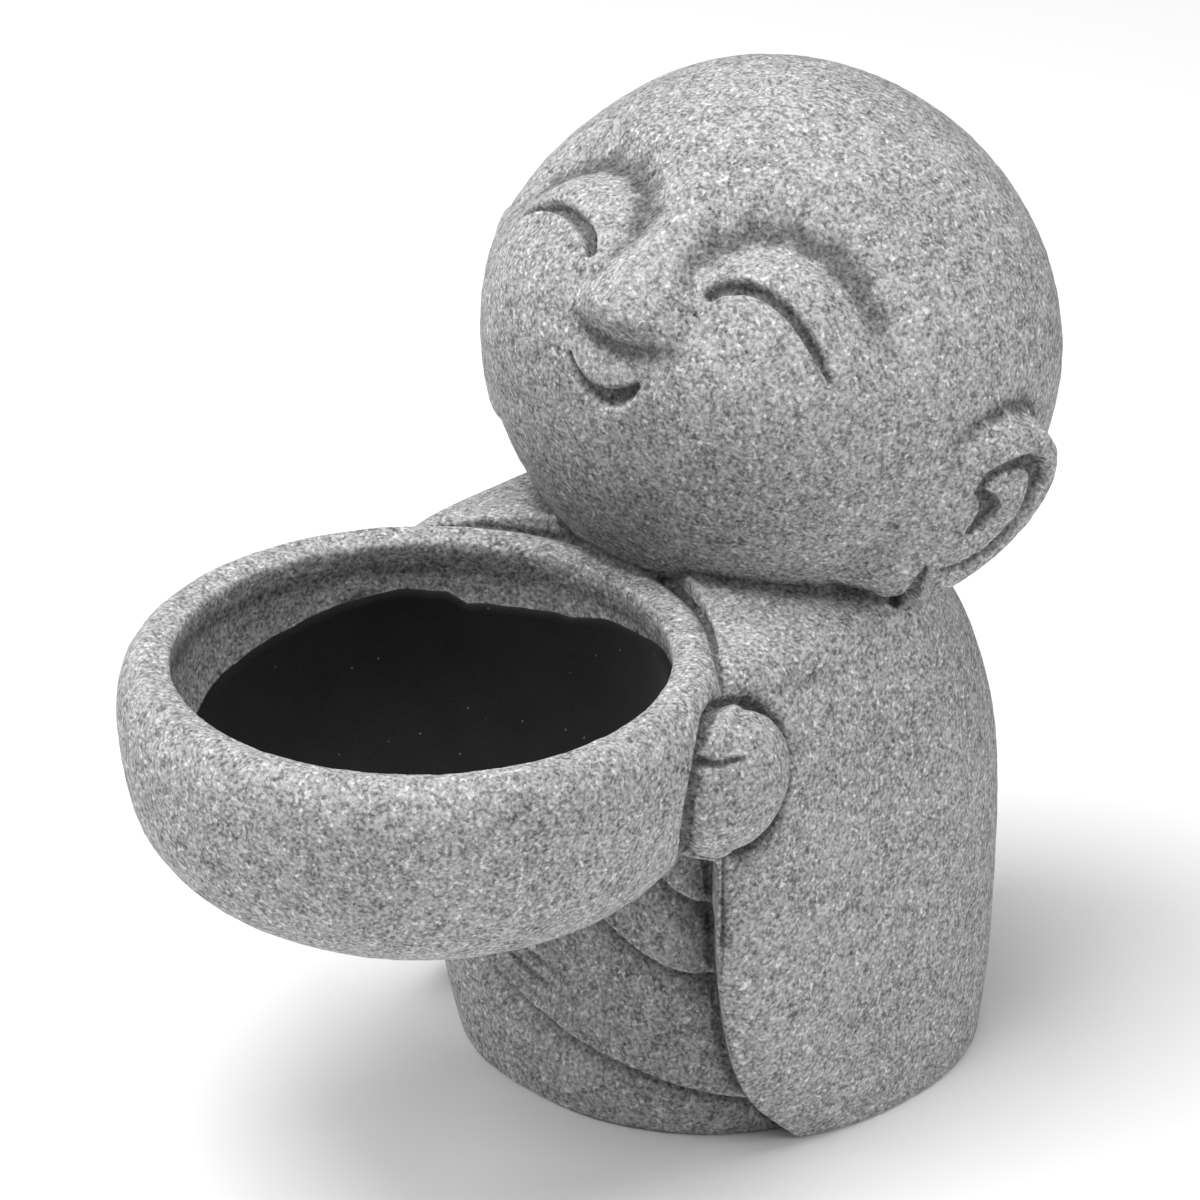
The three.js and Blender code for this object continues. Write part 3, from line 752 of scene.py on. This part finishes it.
felt_outside = smooth_line(hollow_line(LINING_CLEARANCE)[::-1], 160)
felt_inside = smooth_line(hollow_line(LINING_CLEARANCE + LINING_THICKNESS)[::-1], 160)


def felt_place(angle, down):
    """Up the felt's inside from its middle to the trimmed edge, and back down its outside."""
    edge = np.array(LINING_EDGE, float)
    bearing = np.degrees(np.arctan2(np.sin(angle), -np.cos(angle)))
    snips = 0.1 * np.sin(angle * 19) + 0.06 * np.sin(angle * 41 + 1)
    top = np.interp(bearing, edge[:, 0], edge[:, 1]) + snips
    inner = down < 0.5
    share = np.where(inner, down / 0.5, (1 - down) / 0.5)
    share = np.clip(share, 0, 1)
    radius = np.zeros_like(angle)
    height = np.zeros_like(angle)
    for side, line in ((inner, felt_inside), (~inner, felt_outside)):
        run = np.concatenate([[0], np.cumsum(np.hypot(*np.diff(line, axis=0).T))])
        stop = np.interp(top[side], line[:, 1], run)
        at = share[side] * stop
        radius[side] = np.interp(at, run, line[:, 0])
        height[side] = np.interp(at, run, line[:, 1])
    return np.stack([np.sin(angle) * radius, BOWL_AXIS_Y - np.cos(angle) * radius, height], 1)


lining = pushed_ball("felt_lining", 90, 46, felt_place)
bpy.ops.object.mode_set(mode="EDIT")
bpy.ops.mesh.select_all(action="SELECT")
bpy.ops.mesh.normals_make_consistent(inside=False)
bpy.ops.object.mode_set(mode="OBJECT")
bpy.ops.object.shade_smooth()
FIBRE_TONE = 0.016
PATCH_TONE = 0.006
LINT_TONE = 0.06
felt = bpy.data.materials.new("black_felt")
felt.use_nodes = True
tree = felt.node_tree
skin = tree.nodes["Principled BSDF"]
skin.inputs["Roughness"].default_value = 1.0
skin.inputs["Specular IOR Level"].default_value = 0.1
skin.inputs["Sheen Weight"].default_value = 0.05
place = new_node(tree, "ShaderNodeTexCoord", (-1200, 0))
fibres = new_node(tree, "ShaderNodeTexNoise", (-900, 200), Scale=2600, Detail=3, Roughness=0.7)
patches = new_node(tree, "ShaderNodeTexNoise", (-900, -50), Scale=120, Detail=2)
lint = new_node(tree, "ShaderNodeTexVoronoi", (-900, -300), Scale=260)
for node in (fibres, patches, lint):
    tree.links.new(place.outputs["Object"], node.inputs["Vector"])
speck = maths(tree, (-650, -300), "LESS_THAN", lint.outputs["Distance"], 0.06)
dark = maths(tree, (-650, 200), "MULTIPLY", fibres.outputs["Fac"], FIBRE_TONE)
worn = maths(tree, (-650, 0), "MULTIPLY", patches.outputs["Fac"], PATCH_TONE)
dark = maths(tree, (-500, 200), "ADD", dark, worn)
linty = maths(tree, (-500, -200), "MULTIPLY", speck, LINT_TONE)
dark = maths(tree, (-350, 200), "ADD", dark, linty)
black = new_node(tree, "ShaderNodeCombineColor", (-200, 200))
for socket in black.inputs:
    tree.links.new(dark, socket)
tree.links.new(black.outputs[0], skin.inputs["Base Color"])
bump = new_node(tree, "ShaderNodeBump", (-200, -200), Strength=0.6, Distance=0.0002)
tree.links.new(fibres.outputs["Fac"], bump.inputs["Height"])
tree.links.new(bump.outputs["Normal"], skin.inputs["Normal"])
lining.data.materials.append(felt)
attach(lining, "root")
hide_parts("bowl_lining")

# Floor and light. A plain pale floor, a large soft lamp overhead and a little in front, two weaker
# ones, in front on the figure's right and behind on its left, and an even white surround.
LAMP_AIM = Vector((0, -0.03, 0.09))
SURROUND_STRENGTH = 0.16
bpy.ops.object.select_all(action="DESELECT")
bpy.ops.mesh.primitive_plane_add(size=8, location=(0, 0, 0))
floor = bpy.context.object
floor.name = "floor"
paper = bpy.data.materials.new("white_paper")
paper.use_nodes = True
paper.node_tree.nodes["Principled BSDF"].inputs["Base Color"].default_value = (0.92, 0.92, 0.92, 1)
paper.node_tree.nodes["Principled BSDF"].inputs["Roughness"].default_value = 0.95
floor.data.materials.append(paper)


def soft_lamp(name, place, size, power):
    """A square lamp of a size in metres and a power in watts, turned to the figure."""
    data = bpy.data.lights.new(name, "AREA")
    data.shape = "SQUARE"
    data.size = size
    data.energy = power
    lamp = bpy.data.objects.new(name, data)
    lamp.location = place
    lamp.rotation_mode = "QUATERNION"
    lamp.rotation_quaternion = (LAMP_AIM - lamp.location).to_track_quat("-Z", "Y")
    bpy.context.scene.collection.objects.link(lamp)


soft_lamp("overhead_lamp", Vector((-0.08, -0.28, 1.28)), 0.9, 18.3)
soft_lamp("front_lamp", Vector((-0.8, -0.95, 0.9)), 0.8, 9)
soft_lamp("back_lamp", Vector((1.2, 0.35, 0.7)), 0.8, 7)
world = bpy.data.worlds.new("surround")
bpy.context.scene.world = world
world.use_nodes = True
world.node_tree.nodes["Background"].inputs["Color"].default_value = (1, 1, 1, 1)
world.node_tree.nodes["Background"].inputs["Strength"].default_value = SURROUND_STRENGTH
bpy.context.scene.view_settings.view_transform = "Standard"
